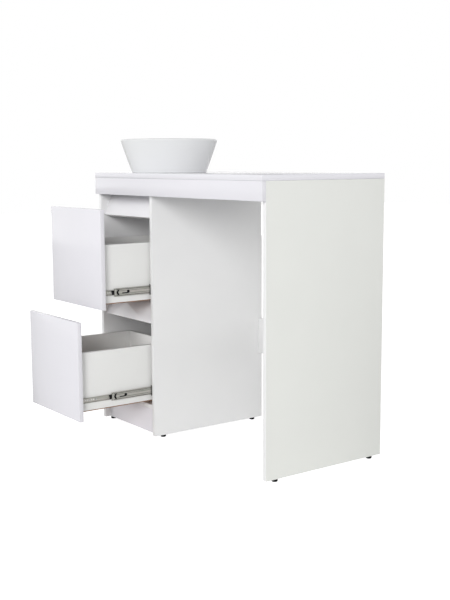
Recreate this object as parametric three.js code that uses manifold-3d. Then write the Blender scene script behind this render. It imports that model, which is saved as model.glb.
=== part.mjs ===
// A bathroom vanity: a worktop over an open appliance bay and a two-drawer cabinet, with a round vessel
// basin standing on it. Millimetres. X runs right from the cabinet's outer face, Y runs back from the
// front face of the apron, Z runs up from the floor. The two drawers are drawn part of the way out.
import * as THREE from "three";
import { mergeVertices } from "three/addons/utils/BufferGeometryUtils.js";
import Module from "manifold-3d";

const wasm = await Module();
wasm.setup();

// Overall sizes
const unitWidth = 1000;
const unitDepth = 500;
const worktopHeight = 935;
const worktopThickness = 18;
const boardThickness = 15;
const cabinetWidth = 368;
const rearSetback = 5; // the panels stop this far short of the worktop's rear edge

// Carcass
const hardboardThickness = 3;
const backHeight = 693; // the back panel leaves the space above it open for pipes
const apronHeight = 60;
const rearRailHeight = 60;
const stretcherBottom = 256;
const stretcherHeight = 132;
const plinthHeight = 88;
const plinthSetback = 20; // behind the cabinet sides' front edges
const footDiameter = 20;
const footHeight = 7;
const footInset = 40;
const plinthFootInset = 12; // the left front glide is under the plinth's end, this far from the panel

// Finger rails, the sloped boards behind the drawer fronts' top edges
const railWidth = 80;
const railTilt = 25.5; // degrees from upright
const railSetback = 11; // lower front corner behind the cabinet sides' front edges
const railLap = 35.5; // lower front corner below the front's top edge

// Drawers
const frontHeight = 340;
const frontTopGap = 40; // apron to the upper front
const frontMiddleGap = 32; // between the two fronts
const frontReveal = 2; // at each side of the cabinet
const boxLength = 390;
const boxTopDrop = 140; // the box's sides are this much lower than the front, which leaves room for the trap
const upperBoxRise = 16; // underside of the box above the front's lower edge
const lowerBoxRise = 27;
const upperDrawerOpen = 185; // how far each drawer stands out
const lowerDrawerOpen = 280;

// Ball-bearing runners, three members each
const runnerGap = 13; // between the drawer box and the cabinet side
const runnerLength = 350;
const runnerRise = 39; // centre line above the underside of the box
const runnerSetback = 2; // cabinet and drawer members behind the front's rear face
const runnerSheet = 1.2;
const cabinetMemberHeight = 35;
const slideMemberHeight = 27.5;
const drawerMemberHeight = 18;
const drawerMemberDepth = 6;
const slideMemberDepth = 6.4;
const cabinetMemberDepth = 9.6;
const slideMemberOffset = 8.2; // drawer box to the outer face of the slide member
const upperSlideOpen = 151; // how far each slide member stands out of its cabinet member
const lowerSlideOpen = 169;
const bumperNose = 9; // bumper in front of the slide member's end
const bumperGap = 1; // shut drawer's front to the bumper
const bumperLength = 30;
const slideWindow = { setback: 9, length: 7, height: 16 }; // behind the slide member's front end
const slideSlot = { setback: 33, length: 18, height: 4, eyeRadius: 4.5 };
const drawerHoleSetbacks = [35, 60, 250]; // behind the drawer member's front end
const screwRadius = 3.4;

// Basin and waste
const basinX = cabinetWidth / 2;
const basinY = 209;
const basinRimRadius = 179;
const basinBaseRadius = 137;
const basinHeight = 120;
const basinWall = 9;
const basinFloor = 14;
const basinFootDepth = 3; // hollow under the base, inside its standing ring
const basinFloorCurve = 26; // radius between the wall and the floor
const wasteHoleRadius = 23;
const wasteTubeRadius = 20;
const wasteTubeBore = 16;
const wasteTubeLength = 76; // below the basin's inner floor
const wasteFlangeRadius = 32;
const wasteFlangeThickness = 3;
const plugRadius = 30;
const plugStemRadius = 5;
const plugStemLength = 32;
const plugEdge = 3; // upright part of the plug's edge
const plugCrown = 6.5; // top of the plug above its underside
const guideDepth = 14; // the bar that guides the plug's stem, below the basin's inner floor
const guideSide = 8;
const backnutSides = 6;
const backnutAcross = 58;
const backnutHeight = 12;
const gasketThickness = 3;
const gasketRadius = 31;
const tapHoleRadius = 17.5;
const tapHoleInset = 56; // from the worktop's rear edge

// Bottle trap
const trapPipeRadius = 16;
const trapPipeWall = 2;
const trapBodyRadius = 30;
const trapBodyHeight = 105;
const trapWall = 3;
const trapCupRadius = 35;
const trapCupHeight = 38;
const trapNutRadius = 25;
const trapNutHeight = 22;
const trapNeck = 40; // inlet tube above the body
const trapOutletReach = 52; // outlet branch from the trap's axis
const trapOutletDrop = 6; // top of the outlet's bore below the top of the body
const trapShoulder = 4; // chamfer round the top of the body
const trapCollarHeight = 4; // the inlet tube's collar, which the nut pulls up
const trapBranchWall = 4;
const trapNutLip = 4; // the inlet nut's floor, under the collar
const outletNutLength = 26;
const outletNutLap = 10; // how far the outlet nut reaches over the pipe
const outletNutLip = 6;

const gap = 0.3; // between meshes that are cut round or rest on each other
const slideFit = 0.4; // running clearance beside the runners
const edgeBreak = 1; // small chamfer on turned and moulded edges
const past = 1; // how far a cutting tool runs past the face it opens
const roundSides = 48;
const smallSides = 24;
const bowlSides = 72;

// Derived levels and places
const panelTop = worktopHeight - worktopThickness;
const panelBottom = footHeight;
const panelRear = unitDepth - rearSetback;
const apronBottom = panelTop - apronHeight;
const frontRear = boardThickness; // rear face of a closed front, and the cabinet sides' front edges
const plinthFront = frontRear + plinthSetback;
const innerLeft = boardThickness;
const innerRight = cabinetWidth - boardThickness;
const bayRight = unitWidth - boardThickness;
const upperFrontBottom = apronBottom - frontTopGap - frontHeight;
const lowerFrontBottom = upperFrontBottom - frontMiddleGap - frontHeight;
const upperBoxBottom = upperFrontBottom + upperBoxRise;
const lowerBoxBottom = lowerFrontBottom + lowerBoxRise;
const boxLeft = innerLeft + runnerGap;
const boxRight = innerRight - runnerGap;
const runnerFront = frontRear + runnerSetback;
const wasteFloor = worktopHeight + basinFloor;
const wasteBottom = wasteFloor - wasteTubeLength;

const white = { color: 0xeeeff3, roughness: 0.35, metalness: 0 };
const gloss = { color: 0xf1f2f7, roughness: 0.12, metalness: 0 };
const ceramic = { color: 0xeeeeef, roughness: 0.08, metalness: 0 };
const zinc = { color: 0xa3a69c, roughness: 0.38, metalness: 0.9 };
const chrome = { color: 0xd7d9dc, roughness: 0.08, metalness: 1 };
const blackPlastic = { color: 0x161617, roughness: 0.45, metalness: 0 };
const whitePlastic = { color: 0xe9e9e6, roughness: 0.3, metalness: 0 };
const brownBoard = { color: 0x8a5b3c, roughness: 0.75, metalness: 0 };
const rubber = { color: 0x2b2b2c, roughness: 0.8, metalness: 0 };

// A box from its lowest to its highest corner. The corners are written straight into the geometry, so
// boards that share a plane meet on it exactly.
function box(low, high) {
  const geometry = new THREE.BoxGeometry(1, 1, 1);
  const points = geometry.getAttribute("position");
  for (let i = 0; i < points.count; i++) {
    points.setXYZ(
      i,
      points.getX(i) > 0 ? high[0] : low[0],
      points.getY(i) > 0 ? high[1] : low[1],
      points.getZ(i) > 0 ? high[2] : low[2],
    );
  }
  return geometry;
}

// A three.js geometry as a manifold-3d solid, and back again.
function solid(geometry) {
  const bare = geometry.clone();
  bare.deleteAttribute("normal");
  bare.deleteAttribute("uv");
  const merged = mergeVertices(bare, 1e-4);
  return new wasm.Manifold(
    new wasm.Mesh({
      numProp: 3,
      vertProperties: new Float32Array(merged.attributes.position.array),
      triVerts: new Uint32Array(merged.index.array),
    }),
  );
}

function geometryOf(manifold) {
  const mesh = manifold.getMesh();
  const geometry = new THREE.BufferGeometry();
  geometry.setAttribute("position", new THREE.BufferAttribute(mesh.vertProperties, 3));
  geometry.setIndex(new THREE.BufferAttribute(mesh.triVerts, 1));
  return geometry;
}

function cut(geometry, ...tools) {
  let result = solid(geometry);
  for (const tool of tools) {
    result = result.subtract(solid(tool));
  }
  return geometryOf(result);
}

function join(geometry, ...others) {
  let result = solid(geometry);
  for (const other of others) {
    result = result.add(solid(other));
  }
  return geometryOf(result);
}

// A turned piece about an upright axis, from a closed profile of [radius, height] points.
function turned(profile, x, y, sides = roundSides) {
  const points = profile.map(([radius, height]) => new THREE.Vector2(radius, height));
  const geometry = new THREE.LatheGeometry(points, sides);
  return geometry.rotateX(Math.PI / 2).translate(x, y, 0);
}

// A round bar along an axis, between two levels.
function bar(axis, radius, at, from, to, sides = roundSides) {
  const geometry = new THREE.CylinderGeometry(radius, radius, to - from, sides);
  if (axis === "x") {
    geometry.rotateZ(Math.PI / 2);
  }
  if (axis === "z") {
    geometry.rotateX(Math.PI / 2);
  }
  const centre = { x: [0, at[0], at[1]], y: [at[0], 0, at[1]], z: [at[0], at[1], 0] }[axis];
  centre["xyz".indexOf(axis)] = (from + to) / 2;
  return geometry.translate(...centre);
}

const furniture = new THREE.Group();

function add(name, geometry, finish, group = furniture) {
  const mesh = new THREE.Mesh(geometry, new THREE.MeshStandardMaterial(finish));
  mesh.name = name;
  group.add(mesh);
}

// Worktop with the waste and tap holes, in two stretches: over the cabinet and over the bay
function makeWorktop() {
  const overCabinet = box([0, 0, panelTop], [cabinetWidth, unitDepth, worktopHeight]);
  const overBay = box([cabinetWidth, 0, panelTop], [unitWidth, unitDepth, worktopHeight]);
  const slab = join(overCabinet, overBay);
  const through = [panelTop - past, worktopHeight + past];
  const wasteHole = bar("z", wasteHoleRadius, [basinX, basinY], ...through);
  const tapHole = bar("z", tapHoleRadius, [basinX, unitDepth - tapHoleInset], ...through);
  add("worktop", cut(slab, wasteHole, tapHole), gloss);
}

// Upright panels, apron, rear rails, stretcher, plinth, bottom and back
function makeCarcass() {
  const panel = (name, left, right, rear) =>
    add(name, box([left, frontRear, panelBottom], [right, rear, panelTop]), white);
  panel("cabinet_side_left", 0, innerLeft, panelRear);
  panel("cabinet_side_right", innerRight, cabinetWidth, panelRear);
  panel("end_panel", bayRight, unitWidth, unitDepth);
  add("front_apron", box([0, 0, apronBottom], [unitWidth, frontRear, panelTop]), gloss);

  const railFront = panelRear - boardThickness;
  const crossBoard = (name, left, right, bottom, height) =>
    add(name, box([left, railFront, bottom], [right, panelRear, bottom + height]), white);
  const rearRailBottom = panelTop - rearRailHeight;
  crossBoard("cabinet_rear_rail", innerLeft, innerRight, rearRailBottom, rearRailHeight);
  crossBoard("bay_rear_rail", cabinetWidth, bayRight, rearRailBottom, rearRailHeight);
  crossBoard("bay_stretcher", cabinetWidth, bayRight, stretcherBottom, stretcherHeight);

  const plinthRear = plinthFront + boardThickness;
  const plinthTop = panelBottom + plinthHeight;
  add("plinth", box([innerLeft, plinthFront, panelBottom], [innerRight, plinthRear, plinthTop]), gloss);
  const bottomHigh = [innerRight, panelRear, plinthTop + boardThickness];
  add("cabinet_bottom", box([innerLeft, plinthFront, plinthTop], bottomHigh), white);

  const backLow = [0, panelRear, panelBottom];
  const backHigh = [cabinetWidth, panelRear + hardboardThickness, panelBottom + backHeight];
  add("cabinet_back", box(backLow, backHigh), white);
}

// A sloped board between the cabinet sides: its lower front corner is at (frontY, bottomZ).
function makeFingerRail(name, frontBottom) {
  const tilt = (railTilt * Math.PI) / 180;
  const y = frontRear + railSetback;
  const z = frontBottom + frontHeight - railLap;
  const up = [Math.sin(tilt) * railWidth, Math.cos(tilt) * railWidth];
  const back = [Math.cos(tilt) * boardThickness, -Math.sin(tilt) * boardThickness];
  const section = new THREE.Shape();
  section.moveTo(y, z);
  section.lineTo(y + back[0], z + back[1]);
  section.lineTo(y + up[0] + back[0], z + up[1] + back[1]);
  section.lineTo(y + up[0], z + up[1]);
  const options = { depth: innerRight - innerLeft, bevelEnabled: false };
  const geometry = new THREE.ExtrudeGeometry(section, options);
  // The section's own axes become Y and Z, and the extrusion runs along X.
  geometry.applyMatrix4(new THREE.Matrix4().set(0, 0, 1, innerLeft, 1, 0, 0, 0, 0, 1, 0, 0, 0, 0, 0, 1));
  add(name, geometry, gloss);
}

// A plastic glide under each end of each upright panel, but for the left front one
function makeFeet() {
  const columns = {
    left: innerLeft / 2,
    middle: (innerRight + cabinetWidth) / 2,
    right: (bayRight + unitWidth) / 2,
  };
  const rows = { front: frontRear + footInset, rear: panelRear - footInset };
  const radius = footDiameter / 2;
  const profile = [
    [0, 0],
    [radius - edgeBreak, 0],
    [radius, edgeBreak],
    [radius, footHeight - 2 * edgeBreak],
    [radius - 2 * edgeBreak, footHeight],
    [0, footHeight],
  ];
  const places = {};
  for (const [column, x] of Object.entries(columns)) {
    for (const [row, y] of Object.entries(rows)) {
      places[`foot_${column}_${row}`] = [x, y];
    }
  }
  places.foot_left_front = [innerLeft + plinthFootInset, plinthFront + boardThickness / 2];
  for (const [name, [x, y]] of Object.entries(places)) {
    add(name, turned(profile, x, y, smallSides), blackPlastic);
  }
}

// Front, two sides, back and a hardboard bottom. The group's Y is 0 with the drawer shut.
function makeDrawer(name, frontBottom, boxBottom, open) {
  const group = new THREE.Group();
  group.position.y = -open;
  const frontLow = [frontReveal, 0, frontBottom];
  const frontHigh = [cabinetWidth - frontReveal, frontRear, frontBottom + frontHeight];
  add(`${name}_front`, box(frontLow, frontHigh), gloss, group);

  const sideBottom = boxBottom + hardboardThickness;
  const sideTop = sideBottom + frontHeight - boxTopDrop;
  const boxRear = frontRear + boxLength;
  const side = (suffix, left) =>
    add(
      `${name}_${suffix}`,
      box([left, frontRear, sideBottom], [left + boardThickness, boxRear, sideTop]),
      white,
      group,
    );
  side("side_left", boxLeft);
  side("side_right", boxRight - boardThickness);
  const backLow = [boxLeft + boardThickness, boxRear - boardThickness, sideBottom];
  const backHigh = [boxRight - boardThickness, boxRear, sideTop];
  add(`${name}_back`, box(backLow, backHigh), white, group);
  const bottomLow = [boxLeft, frontRear, boxBottom];
  add(`${name}_bottom`, box(bottomLow, [boxRight, boxRear, sideBottom]), brownBoard, group);
  furniture.add(group);
}

// A rolled channel along Y: a web with a flange at its top and bottom edge, open towards `mouth`.
// `web` is the outer face of its web, and `turn` is 1 where the mouth faces +X and -1 where it faces -X.
function channel(web, turn, depth, height, centreZ, from, to) {
  const half = height / 2;
  const between = (a, b) => [Math.min(a, b), Math.max(a, b)];
  const plate = (reach, low, high) => {
    const [left, right] = between(web, web + turn * reach);
    return box([left, from, centreZ + low], [right, to, centreZ + high]);
  };
  return join(
    plate(runnerSheet, -half, half),
    plate(depth, -half, -half + runnerSheet),
    plate(depth, half - runnerSheet, half),
  );
}

// The runner at one side of a drawer. `turn` is 1 at the drawer's left and -1 at its right.
function makeRunner(name, side, boxBottom, drawerOpen, slideOpen) {
  const turn = side === "left" ? 1 : -1;
  const panelFace = side === "left" ? innerLeft : innerRight;
  const boxFace = side === "left" ? boxLeft : boxRight;
  const centreZ = boxBottom + runnerRise;
  const across = (from, to) => (from < to ? [from, to] : [to, from]);

  const from = runnerFront;
  const to = runnerFront + runnerLength;
  const fixed = channel(panelFace, turn, cabinetMemberDepth, cabinetMemberHeight, centreZ, from, to);
  add(`${name}_runner_${side}_cabinet_member`, fixed, zinc);

  const slideGroup = new THREE.Group();
  slideGroup.position.y = -slideOpen;
  const slideFront = frontRear + bumperNose + bumperGap;
  const slideWeb = boxFace - turn * slideMemberOffset;
  const slideRear = slideFront + runnerLength;
  const sliding = channel(
    slideWeb,
    turn,
    slideMemberDepth,
    slideMemberHeight,
    centreZ,
    slideFront,
    slideRear,
  );
  const webX = across(slideWeb - turn * past, slideWeb + turn * (runnerSheet + past));
  const opening = ({ setback, length, height }) =>
    box(
      [webX[0], slideFront + setback, centreZ - height / 2],
      [webX[1], slideFront + setback + length, centreZ + height / 2],
    );
  const eyeY = slideFront + slideSlot.setback + slideSlot.length;
  const slotEye = bar("x", slideSlot.eyeRadius, [eyeY, centreZ], ...webX, smallSides);
  const pierced = cut(sliding, opening(slideWindow), opening(slideSlot), slotEye);
  add(`${name}_runner_${side}_slide_member`, pierced, zinc, slideGroup);

  // The bumper lies in the drawer member's channel, against the slide member's web.
  const bumperInner = slideWeb + turn * (runnerSheet + gap);
  const bumperX = across(bumperInner, boxFace - turn * (runnerSheet + gap));
  const bumperHalf = drawerMemberHeight / 2 - runnerSheet - slideFit;
  const noseFront = slideFront - bumperNose;
  const bumper = box(
    [bumperX[0], noseFront, centreZ - bumperHalf],
    [bumperX[1], noseFront + bumperLength, centreZ + bumperHalf],
  );
  add(`${name}_runner_${side}_bumper`, bumper, blackPlastic, slideGroup);
  furniture.add(slideGroup);

  const drawerGroup = new THREE.Group();
  drawerGroup.position.y = -drawerOpen;
  // This member lies against the box with its flanges turned out, towards the cabinet side.
  const moving = channel(boxFace, -turn, drawerMemberDepth, drawerMemberHeight, centreZ, from, to);
  const boxX = across(boxFace + turn * past, boxFace - turn * (runnerSheet + past));
  const hole = (setback) => bar("x", screwRadius, [from + setback, centreZ], ...boxX, smallSides);
  const holes = drawerHoleSetbacks.map(hole);
  add(`${name}_runner_${side}_drawer_member`, cut(moving, ...holes), zinc, drawerGroup);
  furniture.add(drawerGroup);
}

// Round basin with straight sloping walls, a rounded rim and a flat floor
function makeBasin() {
  const bottom = worktopHeight;
  const rim = worktopHeight + basinHeight;
  const lean = (basinRimRadius - basinBaseRadius) / basinHeight;
  const lip = basinWall / 2;
  const profile = [
    [0, bottom + basinFootDepth],
    [basinBaseRadius - basinWall * 2, bottom + basinFootDepth],
    [basinBaseRadius - basinWall, bottom],
    [basinBaseRadius - edgeBreak, bottom],
    [basinBaseRadius, bottom + edgeBreak],
  ];
  const lipSteps = 6;
  for (let i = 0; i <= lipSteps; i++) {
    const angle = (Math.PI * i) / lipSteps;
    const x = basinRimRadius - lip + lip * Math.cos(angle);
    profile.push([x, rim - lip + lip * Math.sin(angle)]);
  }
  const innerFoot = basinBaseRadius - basinWall;
  const floor = bottom + basinFloor;
  const floorSteps = 5;
  for (let i = 0; i <= floorSteps; i++) {
    const angle = ((Math.PI / 2) * i) / floorSteps;
    const rise = basinFloorCurve * (1 - Math.sin(angle));
    const x = innerFoot - basinFloorCurve * (1 - Math.cos(angle)) + lean * rise;
    profile.push([x, floor + rise]);
  }
  profile.push([0, floor]);
  const bowl = turned(profile, basinX, basinY, bowlSides);
  const drain = bar("z", wasteHoleRadius, [basinX, basinY], bottom - past, floor + past);
  add("basin", cut(bowl, drain), ceramic);
}

// Waste fitting: flanged tube through basin and worktop, gasket and backnut below, lifting plug above
function makeWaste() {
  const flangeLow = wasteFloor + gap;
  const flangeTop = flangeLow + wasteFlangeThickness;
  const tube = turned(
    [
      [wasteTubeBore, wasteBottom],
      [wasteTubeRadius, wasteBottom],
      [wasteTubeRadius, flangeLow],
      [wasteFlangeRadius - edgeBreak, flangeLow],
      [wasteFlangeRadius, flangeLow + edgeBreak],
      [wasteFlangeRadius - wasteFlangeThickness, flangeTop],
      [wasteTubeBore + wasteFlangeThickness, flangeTop],
      [wasteTubeBore, flangeTop - 2 * edgeBreak],
      [wasteTubeBore, wasteBottom],
    ],
    basinX,
    basinY,
  );
  const guideTop = wasteFloor - guideDepth;
  const guideBottom = guideTop - guideSide;
  const reach = (wasteTubeBore + wasteTubeRadius) / 2; // the bar's ends are sunk in the tube's wall
  const guideLow = [basinX - reach, basinY - guideSide, guideBottom];
  const guide = box(guideLow, [basinX + reach, basinY + guideSide, guideTop]);
  const stemRadius = plugStemRadius + gap;
  const stemHole = bar("z", stemRadius, [basinX, basinY], guideBottom - past, guideTop + past, smallSides);
  add("waste_body", cut(join(tube, guide), stemHole), chrome);

  const plugLow = flangeTop + gap;
  const plug = turned(
    [
      [0, plugLow - plugStemLength],
      [plugStemRadius, plugLow - plugStemLength],
      [plugStemRadius, plugLow],
      [plugRadius - edgeBreak, plugLow],
      [plugRadius, plugLow + edgeBreak],
      [plugRadius, plugLow + plugEdge],
      [plugRadius - 2 * edgeBreak, plugLow + plugEdge + 2 * edgeBreak],
      [plugRadius / 2, plugLow + plugCrown - edgeBreak / 2],
      [0, plugLow + plugCrown],
    ],
    basinX,
    basinY,
  );
  add("waste_plug", plug, chrome);

  const ring = (name, low, high, sides, radius, finish) => {
    const disc = bar("z", radius, [basinX, basinY], low, high, sides);
    const bore = bar("z", wasteTubeRadius + gap, [basinX, basinY], low - past, high + past);
    add(name, cut(disc, bore), finish);
  };
  const gasketTop = panelTop - gap;
  const gasketLow = gasketTop - gasketThickness;
  const nutTop = gasketLow - gap;
  ring("waste_gasket", gasketLow, gasketTop, roundSides, gasketRadius, rubber);
  const nutRadius = backnutAcross / Math.sqrt(3);
  ring("waste_backnut", nutTop - backnutHeight, nutTop, backnutSides, nutRadius, whitePlastic);
}

// Bottle trap under the waste, its cup, its nuts and the outlet pipe to the rear
function makeTrap() {
  const inletTop = wasteBottom - gap;
  const bodyTop = inletTop - trapNeck;
  const bodyBottom = bodyTop - trapBodyHeight;
  const outletZ = bodyTop - trapPipeRadius - trapOutletDrop;
  const bore = trapPipeRadius - trapPipeWall;
  const cavity = trapBodyRadius - trapWall;
  const collar = wasteTubeRadius;
  const shell = turned(
    [
      [0, bodyBottom],
      [trapBodyRadius, bodyBottom],
      [trapBodyRadius, bodyTop - trapShoulder],
      [trapBodyRadius - trapShoulder, bodyTop],
      [trapPipeRadius, bodyTop],
      [trapPipeRadius, inletTop - trapCollarHeight],
      [collar, inletTop - trapCollarHeight],
      [collar, inletTop],
      [0, inletTop],
    ],
    basinX,
    basinY,
  );
  const branchEnd = basinY + trapOutletReach;
  const branchRadius = bore + trapBranchWall;
  const branch = bar("y", branchRadius, [basinX, outletZ], basinY, branchEnd);
  const chamberTop = bodyTop - trapOutletDrop;
  const inletBore = bar("z", bore, [basinX, basinY], chamberTop - past, inletTop + past);
  const chamber = bar("z", cavity, [basinX, basinY], bodyBottom - past, chamberTop);
  const branchBore = bar("y", bore, [basinX, outletZ], basinY, branchEnd + past);
  add("trap_body", cut(join(shell, branch), inletBore, chamber, branchBore), whitePlastic);

  const cupFloor = bodyBottom - gap - trapWall;
  const cup = turned(
    [
      [0, cupFloor],
      [trapCupRadius - trapWall, cupFloor],
      [trapCupRadius, cupFloor + trapWall],
      [trapCupRadius, cupFloor + trapCupHeight],
      [trapBodyRadius + gap, cupFloor + trapCupHeight],
      [trapBodyRadius + gap, bodyBottom - gap],
      [0, bodyBottom - gap],
    ],
    basinX,
    basinY,
  );
  add("trap_cup", cup, whitePlastic);

  const nutFloor = inletTop - trapCollarHeight - gap;
  const nutBottom = nutFloor - trapNutLip;
  const nut = turned(
    [
      [trapPipeRadius + gap, nutBottom],
      [trapNutRadius, nutBottom],
      [trapNutRadius, nutBottom + trapNutHeight],
      [collar + gap, nutBottom + trapNutHeight],
      [collar + gap, nutFloor],
      [trapPipeRadius + gap, nutFloor],
      [trapPipeRadius + gap, nutBottom],
    ],
    basinX,
    basinY,
  );
  add("trap_inlet_nut", nut, whitePlastic);

  // The outlet pipe starts behind the branch, inside the outlet nut, and runs to the wall plane.
  const pipeStart = branchEnd + gap;
  const pipe = cut(
    bar("y", trapPipeRadius, [basinX, outletZ], pipeStart, unitDepth),
    bar("y", bore, [basinX, outletZ], pipeStart - past, unitDepth + past),
  );
  add("trap_outlet_pipe", pipe, whitePlastic);
  const outletNutEnd = branchEnd + outletNutLap;
  const outletNutFront = outletNutEnd - outletNutLength;
  const nutCut = outletNutFront - past;
  const outletNut = cut(
    bar("y", trapNutRadius, [basinX, outletZ], outletNutFront, outletNutEnd),
    bar("y", branchRadius + gap, [basinX, outletZ], nutCut, outletNutEnd - outletNutLip),
    bar("y", trapPipeRadius + gap, [basinX, outletZ], nutCut, outletNutEnd + past),
  );
  add("trap_outlet_nut", outletNut, whitePlastic);
}

makeWorktop();
makeCarcass();
makeFingerRail("finger_rail_upper", upperFrontBottom);
makeFingerRail("finger_rail_lower", lowerFrontBottom);
makeFeet();
makeDrawer("upper_drawer", upperFrontBottom, upperBoxBottom, upperDrawerOpen);
makeDrawer("lower_drawer", lowerFrontBottom, lowerBoxBottom, lowerDrawerOpen);
for (const side of ["left", "right"]) {
  makeRunner("upper", side, upperBoxBottom, upperDrawerOpen, upperSlideOpen);
  makeRunner("lower", side, lowerBoxBottom, lowerDrawerOpen, lowerSlideOpen);
}
makeBasin();
makeWaste();
makeTrap();

// The origin is on the floor, at the middle of the space that the unit takes with its drawers as drawn.
const frontmost = -Math.max(upperDrawerOpen, lowerDrawerOpen);
furniture.position.set(-unitWidth / 2, -(unitDepth + frontmost) / 2, 0);
const vanity = new THREE.Group();
vanity.add(furniture);

export default vanity;
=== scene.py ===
import math

import bmesh
import bpy
from mathutils import Matrix, Vector


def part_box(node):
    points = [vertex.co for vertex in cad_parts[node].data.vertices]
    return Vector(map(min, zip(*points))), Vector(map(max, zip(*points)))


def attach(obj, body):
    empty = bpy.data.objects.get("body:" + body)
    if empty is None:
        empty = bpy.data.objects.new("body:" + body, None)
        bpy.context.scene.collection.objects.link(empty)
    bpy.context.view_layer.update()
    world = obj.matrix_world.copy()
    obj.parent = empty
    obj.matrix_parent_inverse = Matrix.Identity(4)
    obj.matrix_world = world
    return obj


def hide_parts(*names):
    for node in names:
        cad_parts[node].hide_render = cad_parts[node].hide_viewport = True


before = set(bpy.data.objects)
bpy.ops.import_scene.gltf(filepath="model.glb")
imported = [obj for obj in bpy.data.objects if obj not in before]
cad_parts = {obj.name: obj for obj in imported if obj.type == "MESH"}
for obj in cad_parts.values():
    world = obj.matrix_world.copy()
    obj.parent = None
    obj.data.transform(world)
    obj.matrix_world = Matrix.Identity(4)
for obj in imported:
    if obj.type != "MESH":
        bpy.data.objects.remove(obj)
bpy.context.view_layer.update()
print("frame:", len(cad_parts), "nodes")

levels = ("upper", "lower")
sides = ("left", "right")
tiny = 1e-6  # two places nearer than this are the same


# Node helpers, then each material and its look.
def addNode(tree, kind, values=None, **settings):
    made = tree.nodes.new(kind)
    for key, value in settings.items():
        setattr(made, key, value)
    for socket, value in (values or {}).items():
        if isinstance(value, bpy.types.NodeSocket):
            tree.links.new(value, made.inputs[socket])
        else:
            made.inputs[socket].default_value = value
    return made


def blendColour(tree, factor, first, second):
    # the colour sockets of a mix node are its inputs 6 and 7, and its output 2
    mix = addNode(tree, "ShaderNodeMix", {0: factor}, data_type="RGBA")
    for index, colour in ((6, first), (7, second)):
        if isinstance(colour, bpy.types.NodeSocket):
            tree.links.new(colour, mix.inputs[index])
        else:
            mix.inputs[index].default_value = (*colour, 1)
    return mix.outputs[2]


def spread(tree, value, low, high, toLow, toHigh):
    ranged = addNode(
        tree, "ShaderNodeMapRange",
        {"Value": value, "From Min": low, "From Max": high, "To Min": toLow, "To Max": toHigh},
    )
    return ranged.outputs["Result"]


def times(tree, first, second):
    return addNode(tree, "ShaderNodeMath", {0: first, 1: second}, operation="MULTIPLY").outputs[0]


# Every finish starts from these and changes what is its own.
plainLook = {
    "tone": (0.87, 0.87, 0.87),
    "cloudTone": (0.855, 0.855, 0.857),  # where the slow clouds are strongest
    "edgeTone": (0.9, 0.9, 0.9),  # on rounded corners
    "speckTone": (0.62, 0.61, 0.59),
    "specks": 0.05,
    "stretch": (1, 1, 1),
    "cloudScale": 5,
    "grainScale": 420,
    "speckScale": 160,
    "wearScale": 9,  # how much finer the wear on corners is than the clouds
    "cloudRange": (0.35, 0.65),
    "speckRange": (0.62, 0.72),
    "wearRange": (0.3, 0.7),
    "leastWear": 0.2,
    "rough": (0.34, 0.44),
    "bump": 0.08,
    "bumpDepth": 0.0002,
    "metal": 0.0,
    "coat": 0.0,
    "coatRough": 0.1,
    "specular": 0.5,
}


def makeFinish(name, **own):
    look = {**plainLook, **own}
    material = bpy.data.materials.new(name)
    material.use_nodes = True
    tree = material.node_tree
    shader = tree.nodes["Principled BSDF"]
    position = addNode(tree, "ShaderNodeTexCoord").outputs["Object"]
    stretched = addNode(
        tree, "ShaderNodeMapping", {"Vector": position, "Scale": look["stretch"]}
    ).outputs["Vector"]

    def noise(scale, detail, rough=0.5):
        made = addNode(
            tree, "ShaderNodeTexNoise",
            {"Vector": stretched, "Scale": scale, "Detail": detail, "Roughness": rough},
        )
        return made.outputs["Fac"]

    clouds = spread(tree, noise(look["cloudScale"], 3), *look["cloudRange"], 0, 1)
    grain = noise(look["grainScale"], 5, 0.6)
    specks = spread(tree, noise(look["speckScale"], 2), *look["speckRange"], 0, look["specks"])
    colour = blendColour(tree, clouds, look["tone"], look["cloudTone"])
    colour = blendColour(tree, specks, colour, look["speckTone"])
    edge = addNode(tree, "ShaderNodeAttribute", attribute_name="edge").outputs["Fac"]
    wear = noise(look["cloudScale"] * look["wearScale"], 2)
    worn = times(tree, edge, spread(tree, wear, *look["wearRange"], look["leastWear"], 1))
    colour = blendColour(tree, worn, colour, look["edgeTone"])
    tree.links.new(colour, shader.inputs["Base Color"])
    low, high = look["rough"]
    tree.links.new(spread(tree, clouds, 0, 1, low, high), shader.inputs["Roughness"])
    bump = addNode(
        tree, "ShaderNodeBump", {"Height": grain, "Strength": look["bump"], "Distance": look["bumpDepth"]}
    )
    tree.links.new(bump.outputs["Normal"], shader.inputs["Normal"])
    shader.inputs["Metallic"].default_value = look["metal"]
    shader.inputs["Coat Weight"].default_value = look["coat"]
    shader.inputs["Coat Roughness"].default_value = look["coatRough"]
    shader.inputs["Specular IOR Level"].default_value = look["specular"]
    return material


# White melamine: a faint orange-peel skin, satin.
melamine = makeFinish("melamine")
endPanelMelamine = makeFinish(
    "endPanelMelamine", tone=(0.84, 0.85, 0.815), cloudTone=(0.83, 0.84, 0.805)
)
drawerMelamine = makeFinish(
    "drawerMelamine", tone=(0.875, 0.875, 0.86), cloudTone=(0.86, 0.86, 0.845), grainScale=350
)
edgeBand = makeFinish(
    "edgeBand", tone=(0.88, 0.88, 0.88), cloudTone=(0.865, 0.865, 0.87), rough=(0.28, 0.36),
    stretch=(1, 1, 6), grainScale=260, bump=0.12,
)
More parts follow.
